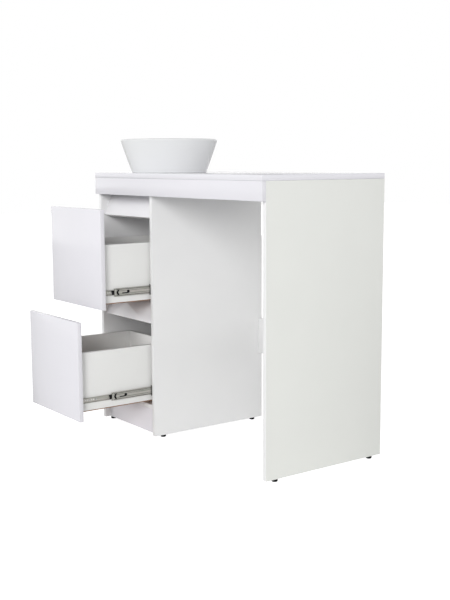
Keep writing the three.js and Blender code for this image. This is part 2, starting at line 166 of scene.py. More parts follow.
# Lacquered boards: brighter, faintly violet, with a clear skin over them.
lacquer = makeFinish(
    "lacquer", tone=(0.83, 0.82, 0.865), cloudTone=(0.82, 0.813, 0.855), edgeTone=(0.84, 0.86, 0.88),
    rough=(0.16, 0.24), coat=0.35, coatRough=0.06, bump=0.05, specks=0.02,
)
# The finger rails' lacquer is painted lighter than the boards' lacquer: painted light for the brightness the
# rails catch from the front.
paintedLightRailLacquer = makeFinish(
    "paintedLightRailLacquer", tone=(0.93, 0.923, 0.945), cloudTone=(0.915, 0.91, 0.935), edgeTone=(0.9, 0.9, 0.92),
    rough=(0.12, 0.18), coat=1.0, specular=0.7, coatRough=0.05, bump=0.05, specks=0.02,
)
glaze = makeFinish(
    "glaze", tone=(0.86, 0.87, 0.875), cloudTone=(0.85, 0.862, 0.868), edgeTone=(0.87, 0.88, 0.885),
    rough=(0.1, 0.18), coat=0.8, coatRough=0.04, grainScale=60, bump=0.06, bumpDepth=0.0004,
    cloudScale=9, specks=0.03, speckScale=120,
)
zinc = makeFinish(
    "zinc", tone=(0.53, 0.535, 0.485), cloudTone=(0.64, 0.61, 0.58), edgeTone=(0.7, 0.71, 0.68),
    speckTone=(0.25, 0.26, 0.22), specks=0.4, stretch=(1, 0.06, 1), cloudScale=160, grainScale=900,
    speckScale=700, rough=(0.3, 0.45), metal=0.7, bump=0.2,
)
trackShadeAndGreaseZinc = makeFinish(  # the pressed tracks: painted shade in their recesses, with dark grease
    "trackShadeAndGreaseZinc", tone=(0.13, 0.135, 0.115), cloudTone=(0.2, 0.2, 0.175), edgeTone=(0.2, 0.2, 0.18),
    speckTone=(0.08, 0.08, 0.07), specks=0.4, stretch=(1, 0.06, 1), cloudScale=160, grainScale=900,
    rough=(0.35, 0.5), metal=0.5, bump=0.2,
)
chrome = makeFinish(
    "chrome", tone=(0.78, 0.79, 0.8), cloudTone=(0.74, 0.75, 0.77), edgeTone=(0.85, 0.86, 0.87),
    rough=(0.05, 0.11), metal=1.0, grainScale=700, bump=0.03,
)
whitePlastic = makeFinish(
    "whitePlastic", tone=(0.74, 0.74, 0.72), cloudTone=(0.7, 0.7, 0.68), rough=(0.26, 0.36),
    grainScale=500, bump=0.12, cloudScale=30,
)
blackPlastic = makeFinish(
    "blackPlastic", tone=(0.012, 0.012, 0.013), cloudTone=(0.02, 0.02, 0.021), edgeTone=(0.05, 0.05, 0.05),
    speckTone=(0.04, 0.04, 0.04), specks=0.3, rough=(0.5, 0.65), grainScale=900, bump=0.2, cloudScale=60,
    specular=0.12,
)
rubber = makeFinish(
    "rubber", tone=(0.02, 0.02, 0.021), cloudTone=(0.03, 0.03, 0.03), edgeTone=(0.05, 0.05, 0.05),
    rough=(0.6, 0.8), grainScale=800, bump=0.3, cloudScale=80,
)
# Raw hardboard: brown, with long felted fibres on its smooth face.
hardboard = makeFinish(
    "hardboard", tone=(0.26, 0.135, 0.07), cloudTone=(0.33, 0.18, 0.1), edgeTone=(0.2, 0.1, 0.05),
    speckTone=(0.12, 0.055, 0.028), specks=0.7, stretch=(1, 0.35, 1), cloudScale=70, grainScale=380,
    speckScale=420, rough=(0.55, 0.8), bump=0.4, bumpDepth=0.0003,
)
print("finishes:", len(bpy.data.materials))


# Mesh helpers.
def shadeSmooth(mesh, degrees=35):
    for polygon in mesh.polygons:
        polygon.use_smooth = True
    mesh.set_sharp_from_angle(angle=math.radians(degrees))


def addObject(name, data):
    made = bpy.data.objects.new(name, data)
    bpy.context.scene.collection.objects.link(made)
    return made


def addMesh(name, bm, *finishes):
    bmesh.ops.recalc_face_normals(bm, faces=bm.faces)
    mesh = bpy.data.meshes.new(name)
    bm.to_mesh(mesh)
    bm.free()
    for finish in finishes:
        mesh.materials.append(finish)
    return addObject(name, mesh)


def place(name, bm, finishes, body, standsFor=()):
    piece = addMesh(name, bm, *(finishes if isinstance(finishes, list) else [finishes]))
    shadeSmooth(piece.data)
    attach(piece, body)
    if standsFor:
        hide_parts(*standsFor)
    return piece


def roundEdges(bm, edges, rounding, segments=2):
    rounded = bmesh.ops.bevel(
        bm, geom=edges, offset=rounding, segments=segments, profile=0.5, affect="EDGES"
    )
    return {vert for face in rounded["faces"] for vert in face.verts}


# A block with rounded edges. The float layer "edge" is 1 on the rounding and 0 on the flats.
def addBlock(bm, low, high, rounding, segments=2):
    layer = bm.verts.layers.float.get("edge") or bm.verts.layers.float.new("edge")
    made = bmesh.ops.create_cube(bm, size=1)["verts"]
    for vert in made:
        vert.co = Vector(high[i] if vert.co[i] > 0 else low[i] for i in range(3))
    edges = {edge for vert in made for edge in vert.link_edges}
    for vert in roundEdges(bm, list(edges), rounding, segments):
        onFlat = any(min(abs(vert.co[i] - low[i]), abs(vert.co[i] - high[i])) < tiny for i in range(3))
        vert[layer] = 0.0 if onFlat else 1.0


def cutWith(piece, *tools):
    for tool in tools:
        cutter = piece.modifiers.new("cut", "BOOLEAN")
        cutter.operation = "DIFFERENCE"
        cutter.solver = "EXACT"
        cutter.object = tool
    graph = bpy.context.evaluated_depsgraph_get()
    cut = bpy.data.meshes.new_from_object(piece.evaluated_get(graph))
    piece.modifiers.clear()
    piece.data = cut
    shadeSmooth(cut)
    for tool in tools:
        bpy.data.objects.remove(tool)


# A closed prism along an axis. Its outline's pairs run over the other two axes, in order.
def addPrism(bm, outline, axis, low, high):
    index = "xyz".index(axis)
    rings = []
    for level in (low, high):
        corners = [(*pair[:index], level, *pair[index:]) for pair in outline]
        rings.append([bm.verts.new(corner) for corner in corners])
    bm.faces.new(rings[0])
    bm.faces.new(rings[1])
    for i in range(len(outline)):
        j = (i + 1) % len(outline)
        bm.faces.new((rings[0][i], rings[0][j], rings[1][j], rings[1][i]))


def makeCutter(outline, axis, low, high):
    bm = bmesh.new()
    addPrism(bm, outline, axis, low, high)
    return addMesh("cutter", bm)


def circle(centre, radius, count=48):
    step = 2 * math.pi / count
    return [
        (centre[0] + radius * math.cos(i * step), centre[1] + radius * math.sin(i * step))
        for i in range(count)
    ]


# Points of an arc in a plane, from one angle to another in degrees.
def arc(centre, radius, start, end, count=6):
    angles = [math.radians(start + (end - start) * i / count) for i in range(count + 1)]
    return [(centre[0] + radius * math.cos(a), centre[1] + radius * math.sin(a)) for a in angles]


# Turns a closed outline of (radius, height) points about an upright or level axis.
def addTurned(bm, outline, centre, axis="z", count=96):
    index = "xyz".index(axis)
    others = [i for i in range(3) if i != index]
    rings = []
    for radius, height in outline:
        ring = []
        for k in range(count if radius > tiny else 1):
            angle = 2 * math.pi * k / count
            co = list(centre)
            co[index] = height
            co[others[0]] += radius * math.cos(angle)
            co[others[1]] += radius * math.sin(angle)
            ring.append(bm.verts.new(co))
        rings.append(ring)
    for a, b in zip(rings, rings[1:] + rings[:1]):
        if len(a) == 1 and len(b) == 1:
            continue
        for k in range(count):
            j = (k + 1) % count
            corners = []
            for vert in (a[k % len(a)], a[j % len(a)], b[j % len(b)], b[k % len(b)]):
                if vert not in corners:
                    corners.append(vert)
            bm.faces.new(corners)
    bmesh.ops.remove_doubles(bm, verts=[v for ring in rings for v in ring], dist=tiny / 10)


# The outline of a bent sheet, from the line along the middle of its thickness.
def bentSheet(line, thickness):
    points = [Vector(p) for p in line]
    left, right = [], []
    for i, point in enumerate(points):
        before = points[max(i - 1, 0)]
        after = points[min(i + 1, len(points) - 1)]
        ahead = (after - point) if after != point else (point - before)
        behind = (point - before) if before != point else ahead
        normal = (ahead.normalized() + behind.normalized()).normalized()
        across = Vector((-normal.y, normal.x))
        stretch = 1 / max(0.5, normal.dot(ahead.normalized()))
        left.append(point + across * thickness / 2 * stretch)
        right.append(point - across * thickness / 2 * stretch)
    return [tuple(p) for p in left + right[::-1]]


# The cabinet's boards.
boards = {
    "rounding": 0.0006,
    "worktopRounding": 0.0009,
    "joint": 0.00012,  # each board stays this much inside its solid, so that joints show as fine lines
    "railWear": 0.4,
    "wasteHole": 0.023,
    "tapHole": 0.0175,
    "tapSetback": 0.056,  # from the worktop's rear edge
}


def makeBoard(node, body, finish, bandAxes=(), rounding=boards["rounding"]):
    low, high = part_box(node)
    inset = Vector((boards["joint"],) * 3)
    bm = bmesh.new()
    addBlock(bm, low + inset, high - inset, rounding)
    bm.normal_update()
    for face in bm.faces:
        main = max(range(3), key=lambda i: abs(face.normal[i]))
        way = ("-" if face.normal[main] < 0 else "+") + "xyz"[main]
        face.material_index = 1 if way in bandAxes else 0
    name = node + "_board"
    return place(name, bm, [finish, edgeBand], body, [node])


# The faces named here are the boards' cut edges, which carry edge band.
cabinetBoards = {
    "cabinet_side_left": ("-y",),
    "cabinet_side_right": ("-y",),
    "cabinet_rear_rail": ("-z",),
    "bay_rear_rail": ("-z",),
    "bay_stretcher": ("-z", "+z"),
    "cabinet_bottom": ("-y",),
    "cabinet_back": (),
}
for node, bands in cabinetBoards.items():
    makeBoard(node, "cabinet", melamine, bands)
makeBoard("end_panel", "cabinet", endPanelMelamine, ("-y",))
makeBoard("front_apron", "cabinet", lacquer, (), boards["worktopRounding"])
makeBoard("plinth", "cabinet", lacquer)


def makeWorktop():
    piece = makeBoard("worktop", "cabinet", lacquer, (), boards["worktopRounding"])
    low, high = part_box("worktop")
    bowlLow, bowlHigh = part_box("basin")
    middle = (bowlLow + bowlHigh) / 2
    holes = ((middle.y, boards["wasteHole"]), (high.y - boards["tapSetback"], boards["tapHole"]))
    through = (2 * low.z - high.z, 2 * high.z - low.z)  # a thickness beyond the board each way
    tools = [makeCutter(circle((middle.x, y), radius), "z", *through) for y, radius in holes]
    cutWith(piece, *tools)


makeWorktop()


# Sloped boards behind the drawer fronts. Each one's outline is the left end of its own solid.
def makeFingerRail(node):
    low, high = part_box(node)
    middle = (low + high) / 2
    ends = [v.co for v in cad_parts[node].data.vertices if abs(v.co.x - low.x) < tiny]
    corners = {(round(co.y, 6), round(co.z, 6)) for co in ends}
    ring = sorted(corners, key=lambda corner: math.atan2(corner[1] - middle.z, corner[0] - middle.y))
    bm = bmesh.new()
    layer = bm.verts.layers.float.new("edge")
    addPrism(bm, ring, "x", low.x + boards["joint"], high.x - boards["joint"])
    for vert in roundEdges(bm, bm.edges[:], boards["rounding"]):
        vert[layer] = boards["railWear"]
    # the rails take the lighter lacquer, a painted light
    place(node + "_board", bm, paintedLightRailLacquer, "cabinet", [node])


for level in levels:
    makeFingerRail("finger_rail_" + level)
print("cabinet boards made")


# Drawers: front, sides and back, and a hardboard bottom nailed on from below.
drawer = {
    "frontRounding": 0.0009,
    "nailRadius": 0.0014,
    "nailHead": 0.0004,
    "nailShank": 0.001,  # how far the head is sunk
    "nailStep": 0.075,
    "nailInset": 0.0075,
}


def makeDrawer(level):
    body = level + "_drawer"
    makeBoard(body + "_front", body, lacquer, (), drawer["frontRounding"])
    for part in ("side_left", "side_right", "back"):
        makeBoard(f"{body}_{part}", body, drawerMelamine, ("+z",))
    bottom = makeBoard(body + "_bottom", body, hardboard)
    bottom.data.materials[1] = hardboard
    # nails up through the hardboard into the sides
    low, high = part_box(body + "_bottom")
    radius, inset = drawer["nailRadius"], drawer["nailInset"]
    crown, sunk = low.z - drawer["nailHead"], low.z + drawer["nailShank"]
    head = [(0, crown), (radius, (crown + low.z) / 2), (radius, sunk), (0, sunk)]
    row = high.y - low.y - 2 * inset
    count = int(row / drawer["nailStep"])
    bm = bmesh.new()
    for x in (low.x + inset, high.x - inset):
        for i in range(count + 1):
            addTurned(bm, head, (x, low.y + inset + i * row / count, 0), "z", 12)
    place(body + "_bottom_nails", bm, zinc, body)


for level in levels:
    makeDrawer(level)
print("drawers made")


# Runners: three rolled members beside each drawer side, and the small parts on them.
runner = {
    "sheet": 0.0012,
    "lipEnd": 0.0004,  # the rolled lips' ends, in from the mouth
    "lip": {"cabinet_member": 0.0008, "slide_member": 0.0009, "drawer_member": 0.0006},  # turned in
    "lipBend": ((0.0006, 0.0003), (0.0012, 0)),  # points of the bend: in from the mouth, and down
    "webBend": ((0.0010, 0), (0.0002, 0.0005), (0, 0.0012)),  # out from the web, and down
    "trackEdges": (0.0016, 0.0026, 0.0032, 0.0042),  # down from the top: in, deep, deep, out again
    "track": {"cabinet_member": 0.0012, "slide_member": 0.0014, "drawer_member": 0.0007},  # pressed depth
    "bandHalf": 0.0040,  # the slide member's web has a band along its middle, between two grooves
    "bandProud": 0.0003,
    "grooveWidth": 0.0016,
    "grooveDepth": 0.0005,
    "grooveSlope": 0.0002,
    "shadeAndGreaseDepth": 0.0002,  # faces pressed in further than this get the dark track finish: painted shade, with grease
    "cutterReach": (0.002, 0.003),  # out of the web, and into it
}


# A member's box, its web's outer face and its middle height. The way goes from the web to the mouth.
def memberPlaces(node, way):
    low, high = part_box(node)
    return low, high, (low.x if way > 0 else high.x), (low.z + high.z) / 2


def throughWeb(web, way):
    before, past = runner["cutterReach"]
    return sorted((web - way * before, web + way * past))


# A rolled channel's outline: the web is pressed in along the ball tracks, and the lips turn in.
def channelOutline(kind, depth, height):
    t = runner["sheet"] / 2
    half, mouth = height / 2 - t, depth - t
    pressed = t + runner["track"][kind]
    top = [(mouth - runner["lipEnd"], half - runner["lip"][kind])]
    top += [(mouth - back, half - down) for back, down in runner["lipBend"]]
    top += [(t + out, half - down) for out, down in runner["webBend"]]
    top += [(out, half - down) for out, down in zip((t, pressed, pressed, t), runner["trackEdges"])]
    if kind == "slide_member":
        inner, slope = runner["bandHalf"], runner["grooveSlope"]
        outer, groove = inner + runner["grooveWidth"], t + runner["grooveDepth"]
        top += [(t, outer + 2 * slope), (groove, outer), (groove, inner + slope)]
        top += [(t - runner["bandProud"], inner - slope)]
    return bentSheet(top + [(out, -up) for out, up in top[::-1]], runner["sheet"])


def makeMember(stem, kind, body, way):
    node = stem + kind
    low, high, web, middle = memberPlaces(node, way)
    outline = channelOutline(kind, high.x - low.x, high.z - low.z)
    bm = bmesh.new()
    addPrism(bm, [(web + way * out, middle + up) for out, up in outline], "y", low.y, high.y)
    bmesh.ops.recalc_face_normals(bm, faces=bm.faces)
    for face in bm.faces:
        pressed = way * (face.calc_center_median().x - web)
        outward = abs(face.normal.y) < 0.5 and face.normal.x * way < -0.1
        # faces deep in the pressed tracks take the dark finish: painted shade in the recesses, with grease
        face.material_index = 1 if outward and pressed > runner["shadeAndGreaseDepth"] else 0
    return place(node + "_rail", bm, [zinc, trackShadeAndGreaseZinc], body, [node])


# What shows on the slide member's front end. Setbacks are from its front.
slideEnd = {
    "slot": {"setback": 0.030, "length": 0.024, "height": 0.0038, "drop": 0.0032},
    "eye": {"setback": 0.0545, "radius": 0.0056, "rise": 0.0012},
    "window": {"setback": 0.0070, "depth": 0.0135, "half": 0.0102, "shoulder": 0.45, "notch": 0.6},
    "lever": {
        "setback": 0.005, "length": 0.056, "behind": 0.0014, "thickness": 0.0004,
        "margin": 0.001, "clear": 0.002, "taper": 0.004,
    },
    "tab": {"start": 0.45, "length": 0.007, "height": 0.0030, "proud": 0.0009, "rounding": 0.0003},
    "lip": {"radius": 0.020, "setback": 0.0024, "width": 0.0034, "proud": 0.0011, "spread": 33, "steps": 12},
}


# Window, slot and eye through the slide member's web, and the black lever that shows in them.
def pierceSlide(slide, stem, way):
    low, high, web, middle = memberPlaces(stem + "slide_member", way)
    slot, eye, window, lever = (slideEnd[name] for name in ("slot", "eye", "window", "lever"))
    start, end = low.y + slot["setback"], low.y + slot["setback"] + slot["length"]
    under = middle - slot["drop"] - slot["height"] / 2
    over = under + slot["height"]
    bar = [(start, under), (end, under), (end, over), (start, over)]
    front, half = low.y + window["setback"], window["half"]
    rear = front + window["depth"]
    shoulder = front + window["depth"] * window["shoulder"]
    chevron = [
        (front, middle),
        (shoulder, middle - half),
        (rear, middle - half),
        (front + window["depth"] * window["notch"], middle),
        (rear, middle + half),
        (shoulder, middle + half),
    ]
    eyeRing = circle((low.y + eye["setback"], middle + eye["rise"]), eye["radius"], 24)
    through = throughWeb(web, way)
    cutWith(slide, *[makeCutter(outline, "x", *through) for outline in (bar, chevron, eyeRing)])

    # wide behind the window, then narrow behind the slot and the eye
    near = web + way * lever["behind"]
    bladeFront = low.y + lever["setback"]
    bladeRear = bladeFront + lever["length"]
    wide = rear + lever["clear"]
    narrow = wide + lever["taper"]
    wing = half - lever["margin"]
    tailLow, tailHigh = eye["radius"] + lever["margin"], eye["radius"] + lever["clear"]
    blade = [
        (bladeFront, middle - wing),
        (wide, middle - wing),
        (narrow, middle - tailLow),
        (bladeRear, middle - tailLow),
        (bladeRear, middle + tailHigh),
        (narrow, middle + tailHigh),
        (wide, middle + wing),
        (bladeFront, middle + wing),
    ]
    bm = bmesh.new()
    addPrism(bm, blade, "x", *sorted((near, near + way * lever["thickness"])))
    place(stem + "release_lever", bm, blackPlastic, stem.split("_")[0] + "_slides")


# The tab bent out above the slot, and the curved lip round the slide member's front end, both painted
# lighter as a highlight.
def makeSlideEnd(stem, way, body):
    low, high, web, middle = memberPlaces(stem + "slide_member", way)
    slot, tab, lip = slideEnd["slot"], slideEnd["tab"], slideEnd["lip"]
    bm = bmesh.new()
    front = low.y + slot["setback"] + slot["length"] * tab["start"]
    near, far = sorted((web, web - way * tab["proud"]))
    corners = ((near, front, middle), (far, front + tab["length"], middle + tab["height"]))
    addBlock(bm, *corners, tab["rounding"], 1)
    centre = (low.y + lip["setback"] + lip["radius"], middle)
    spine = arc(centre, lip["radius"], 180 - lip["spread"], 180 + lip["spread"], lip["steps"])
    half, crest = lip["width"] / 2, web - way * lip["proud"]
    rings = []
    for y, z in spine:
        rings.append([bm.verts.new(co) for co in ((web, y - half, z), (crest, y, z), (web, y + half, z))])
    for first, second in zip(rings, rings[1:]):
        for k in range(3):
            j = (k + 1) % 3
            bm.faces.new((first[k], first[j], second[j], second[k]))
    bm.faces.new(rings[0])
    bm.faces.new(rings[-1])
    # lip and tab take the lighter edge tone all over: a painted highlight on the lip's crest and on the tab
    layer = bm.verts.layers.float["edge"]
    for vert in bm.verts:
        vert[layer] = 1.0
    place(stem + "slide_end_lip", bm, zinc, body)


bumper = {
    # the hooked nose's front, from the top down, as shares of its length and of the half height
    "nose": ((0, 1), (0, 0.3), (0.26, 0.15), (0.4, -0.2), (0.26, -0.4), (0.26, -1)),
    "thinned": 0.0008,  # clear of the drawer member's pressed tracks
    "rounding": 0.0005,
}


def makeBumper(stem, way, body):
    node = stem + "bumper"
    low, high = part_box(node)
    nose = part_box(stem + "slide_member")[0].y - low.y
    middle, half = (low.z + high.z) / 2, (high.z - low.z) / 2
    hook = [(low.y + nose * along, middle + half * up) for along, up in bumper["nose"]]
    hook += [(high.y, middle - half), (high.y, middle + half)]
    thinned = bumper["thinned"]
    span = (low.x, high.x - thinned) if way < 0 else (low.x + thinned, high.x)
    bm = bmesh.new()
    addPrism(bm, hook, "x", *span)
    roundEdges(bm, bm.edges[:], bumper["rounding"])
    place(node + "_hook", bm, blackPlastic, body, [node])


screw = {
    "setbacks": (0.035, 0.060, 0.250),  # from the drawer member's front end
    "plainSetbacks": (0.021, 0.028, 0.043, 0.050),  # punched, without a screw
    "hole": 0.0026,
    "head": (  # radius, and height over the web's inner face
        (0, -0.0006), (0.0023, -0.0006), (0.0033, 0.0001), (0.00264, 0.0009),
        (0.0013, 0.0011), (0.0009, 0.0003), (0, 0.0003),
    ),
}


def makeDrawerScrews(moving, stem, way, body):
    low, high, web, middle = memberPlaces(stem + "drawer_member", way)
    centres = [(low.y + setback, middle) for setback in screw["setbacks"] + screw["plainSetbacks"]]
    through = throughWeb(web, way)
    cutWith(moving, *[makeCutter(circle(at, screw["hole"], 20), "x", *through) for at in centres])
    head = [(radius, web + way * (runner["sheet"] + rise)) for radius, rise in screw["head"]]
    bm = bmesh.new()
    for setback in screw["setbacks"]:
        addTurned(bm, head, (0, low.y + setback, middle), "x", 20)
    place(stem + "drawer_member_screws", bm, chrome, body)


cap = {
    "length": 0.003, "out": 0.0042, "hook": 0.0024, "gap": 0.0002, "short": 0.0003,
    "rounding": 0.0005, "hookRounding": 0.0004,
}


# A black cap on the front of the cabinet member, hooked over its two flanges.
def makeEndCap(stem, way):
    low, high, web, middle = memberPlaces(stem + "cabinet_member", way)
    half, front = (high.z - low.z) / 2, low.y - cap["length"] / 2
    near = web + way * cap["gap"]
    plate = sorted((near, web + way * cap["out"]))
    hook = sorted((near, web + way * (high.x - low.x - cap["short"])))
    bm = bmesh.new()
    addBlock(bm, (plate[0], front, middle - half), (plate[1], low.y, middle + half), cap["rounding"])
    for sign in (-1, 1):
        z = sorted((middle + sign * half, middle + sign * (half - cap["hook"])))
        addBlock(bm, (hook[0], front, z[0]), (hook[1], low.y, z[1]), cap["hookRounding"])
    place(stem + "end_cap", bm, blackPlastic, "cabinet")


cage = {
    "out": {"outer": 0.0072, "inner": 0.0094},  # from the cabinet member's web
    "setback": {"outer": 0.014, "inner": 0.008},  # behind the front of the member that it runs in
    "length": {"outer": 0.15, "inner": 0.145},
    "strip": Vector((0.0004, 0, 0.0007)),  # half its thickness and height
    "rounding": 0.0002,
    "ballRadius": 0.0011,
    "ballStep": 0.0075,
}


# Strips of balls between each two members, at the top and the bottom.
def makeBallCage(stem, kind, body, x, middle, rise, front):
    start, length, radius = front + cage["setback"][kind], cage["length"][kind], cage["ballRadius"]
    bm = bmesh.new()
    for z in (middle - rise, middle + rise):
        ends = Vector((x, start, z)) - cage["strip"], Vector((x, start + length, z)) + cage["strip"]
        addBlock(bm, *ends, cage["rounding"], 1)
        for i in range(int(length / cage["ballStep"])):
            y = start + cage["ballStep"] * (i + 0.5)
            ball = arc((0, y), radius, -90, 90, 6)
            ball[0], ball[-1] = (0, y - radius), (0, y + radius)
            addTurned(bm, ball, (x, 0, z), "y", 10)
    place(f"{stem}{kind}_ball_cage", bm, chrome, body)


def makeRunner(level, side):
    stem = f"{level}_runner_{side}_"
    way = 1 if side == "left" else -1  # from the cabinet side towards the drawer
    slides, drawerBody = level + "_slides", level + "_drawer"
    makeMember(stem, "cabinet_member", "cabinet", way)
    slide = makeMember(stem, "slide_member", slides, way)
    moving = makeMember(stem, "drawer_member", drawerBody, -way)
    pierceSlide(slide, stem, way)
    makeSlideEnd(stem, way, slides)
    makeBumper(stem, way, slides)
    makeDrawerScrews(moving, stem, -way, drawerBody)
    makeEndCap(stem, way)

    # the balls run halfway between the flanges of two members
    boxes = [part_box(stem + kind) for kind in ("cabinet_member", "slide_member", "drawer_member")]
    heights = [high.z - low.z for low, high in boxes]
    low, high, web, middle = memberPlaces(stem + "cabinet_member", way)
    for i, (kind, body) in enumerate((("outer", "cabinet"), ("inner", slides))):
        rise = (heights[i] + heights[i + 1]) / 4 - runner["sheet"] / 2
        makeBallCage(stem, kind, body, web + way * cage["out"][kind], middle, rise, boxes[i][0].y)


for level in levels:
    for side in sides:
        makeRunner(level, side)
print("runners made")


# Glides under the upright boards.
glide = {
    "padRadius": 0.0085,
    "padHeight": 0.0012,
    "softening": 0.0012,
    "neck": 0.72,  # the top's radius as a share of the widest
}


def makeGlide(node):
    low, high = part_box(node)
    radius = (high.x - low.x) / 2
    centre = ((low.x + high.x) / 2, (low.y + high.y) / 2, 0)
    pad, padTop, soft = glide["padRadius"], low.z + glide["padHeight"], glide["softening"]
    outline = [
        (0, low.z),
        (pad, low.z),
        (pad + 0.0002, padTop),
        (radius - soft / 2, padTop),
        *arc((radius - soft, low.z + 0.0026), soft, -60, 0, 3),
        *arc((radius - soft, high.z - 0.0022), soft, 0, 80, 4),
        (radius * glide["neck"], high.z),
        (0, high.z),
    ]
    bm = bmesh.new()
    addTurned(bm, outline, centre, "z", 40)
    place(node + "_glide", bm, blackPlastic, "cabinet", [node])


for column in ("left", "middle", "right"):
    for row in ("front", "rear"):
        makeGlide(f"foot_{column}_{row}")


# The bowl, turned from one outline.
basin = {
    "baseRadius": 0.137,
    "wall": 0.009,
    "floor": 0.014,
    "footRing": 0.009,
    "footDepth": 0.003,
    "footSoftening": 0.0016,
    "curve": 0.026,  # inside, between wall and floor
    "curveSteps": 12,
    "drain": 0.023,
    "seat": 0.034,  # shallow ring round the drain
    "seatDepth": 0.00016,
    "drainEdge": 0.001,
}


def makeBasin():
    low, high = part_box("basin")
    centre = ((low.x + high.x) / 2, (low.y + high.y) / 2, 0)
    rim = (high.x - low.x) / 2
    base, lip = basin["baseRadius"], basin["wall"] / 2
    lean = (rim - base) / (high.z - low.z)
    slope = math.degrees(math.atan(lean))
    floor, drain, ring = low.z + basin["floor"], basin["drain"], basin["footRing"]
    soft, seatZ = basin["footSoftening"], floor - basin["seatDepth"]
    inner, curve, steps = base - basin["wall"], basin["curve"], basin["curveSteps"]
    turns = [math.pi / 2 * i / steps for i in range(steps + 1)]
    outline = [
        (drain, low.z + basin["footDepth"]),
        (base - ring * 2, low.z + basin["footDepth"]),
        (base - ring * 1.5, low.z + 0.0006),
        (base - ring * 1.2, low.z),
        (base - soft, low.z),
        *arc((base - soft + 0.0002, low.z + soft), soft, -80, -slope, 4),
        *arc((rim - lip, high.z - lip), lip, -slope, 180 - slope, 14),
    ]
    for a in turns:
        side, up = 1 - math.cos(a), 1 - math.sin(a)
        outline.append((inner - curve * side + lean * curve * up, floor + curve * up))
    outline += [
        (basin["seat"] + 0.002, floor),
        (basin["seat"], seatZ),
        (drain + 0.0008, seatZ),
        (drain, floor - basin["drainEdge"]),
    ]
    bm = bmesh.new()
    addTurned(bm, outline, centre, "z", 160)
    place("basin_bowl", bm, glaze, "cabinet", ["basin"])


# Grip ribs: the outermost points of a turned mesh move in and out round its axis.
def addRibs(bm, centre, axis, radius, ribs, depth):
    others = [i for i in range(3) if "xyz"[i] != axis]
    for vert in bm.verts:
        offsets = [vert.co[i] - centre[i] for i in others]
        distance = math.hypot(*offsets)
        if distance < radius - 0.0005:
            continue
        wave = 0.5 - 0.5 * math.cos(math.atan2(offsets[1], offsets[0]) * ribs)
        for i, offset in zip(others, offsets):
            vert.co[i] = centre[i] + offset * (1 - depth * wave / distance)


# The waste, with its plug, gasket and backnut.
waste = {
    "bore": 0.016,
    "tube": 0.020,
    "fit": 0.0003,  # round the tube, inside gasket and nuts
    "flange": 0.032,
    "flangeHeight": 0.003,
    "flangeSoftening": 0.0012,
    "thread": 0.0015,
    "threadDepth": 0.0006,
    "plain": 0.028,  # tube without thread, under the flange
    "guide": {"bore": 0.0053, "radius": 0.0078, "height": 0.008, "drop": 0.0143, "half": 0.003},
    "plug": {"stem": 0.005, "crown": 0.0065, "edge": 0.0030, "lip": 0.0006, "seal": 0.0009},
    "gasketSoftening": 0.0012,
}


def makeWasteBody(centre):
    low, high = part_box("waste_body")
    bore, tube, flange, soft = (waste[name] for name in ("bore", "tube", "flange", "flangeSoftening"))
    top, under = high.z, high.z - waste["flangeHeight"]
    root = tube - waste["threadDepth"]
    outline = [(bore, low.z), (root, low.z)]
    z = low.z + 0.001
    while z < under - 0.03:
        outline += [(tube, z), (root, z + waste["thread"] / 2)]
        z += waste["thread"]
    outline += [
        (tube, under - waste["plain"]),
        (tube, under),
        (flange - soft / 2, under),
        *arc((flange - soft, under + soft), soft, -60, 70, 6),
        *arc((flange - 0.0055, top - 0.0007), 0.0007, 60, 90, 2),
        (bore + 0.004, top),
        (bore + 0.0006, top - soft),
        (bore, top - 2 * soft),
    ]
    bm = bmesh.new()
    addTurned(bm, outline, centre, "z", 72)
    # the bar that guides the plug's stem
    guide = waste["guide"]
    guideTop = under - guide["drop"]
    guideLow = guideTop - guide["height"]
    for sign in (-1, 1):
        ends = sorted(centre[0] + sign * reach for reach in (guide["bore"] + 0.0003, bore + 0.001))
        front, rear = centre[1] - guide["half"], centre[1] + guide["half"]
        addBlock(bm, (ends[0], front, guideLow), (ends[1], rear, guideTop), 0.0005)
    ring = [(guide["bore"], guideLow), (guide["radius"], guideLow)]
    ring += [(guide["radius"], guideTop), (guide["bore"], guideTop)]
    addTurned(bm, ring, centre, "z", 32)
    place("waste_body_turned", bm, chrome, "cabinet", ["waste_body"])


def makePlug(centre):
    low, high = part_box("waste_plug")
    radius = (high.x - low.x) / 2
    stem, edge, lip = (waste["plug"][name] for name in ("stem", "edge", "lip"))
    lowEdge = high.z - waste["plug"]["crown"]
    dome = high.z - lowEdge - edge
    outline = [
        (0, low.z),
        (stem - 0.0008, low.z),
        (stem, low.z + 0.0008),
        (stem, lowEdge),
        (radius - 0.004, lowEdge),
        (radius - 0.003, lowEdge + lip),
        (radius - lip, lowEdge + lip),
        (radius, lowEdge + 0.0014),
    ]
    for a in [math.pi / 2 * (1 - i / 10) for i in range(11)]:
        outline.append((radius * math.sin(a), lowEdge + edge + dome * math.cos(a)))
    bm = bmesh.new()
    addTurned(bm, outline, centre, "z", 72)
    place("waste_plug_turned", bm, chrome, "waste_plug", ["waste_plug"])
    bm = bmesh.new()
    seal = arc((radius - 0.0034, lowEdge + 0.0001), waste["plug"]["seal"], -180, 0, 6)
    addTurned(bm, seal, centre, "z", 72)
    place("waste_plug_seal", bm, rubber, "waste_plug")


def makeGasket(centre):
    low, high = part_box("waste_gasket")
    radius, soft = (high.x - low.x) / 2, waste["gasketSoftening"]
    inner, outer = waste["tube"] + waste["fit"], radius - 0.0008
    outline = [
        (inner, low.z),
        (outer, low.z),
        *arc((radius - soft, (low.z + high.z) / 2), soft, -70, 70, 6),
        (outer, high.z),
        (inner, high.z),
    ]
    bm = bmesh.new()
    addTurned(bm, outline, centre, "z", 72)
    place("waste_gasket_ring", bm, rubber, "cabinet", ["waste_gasket"])


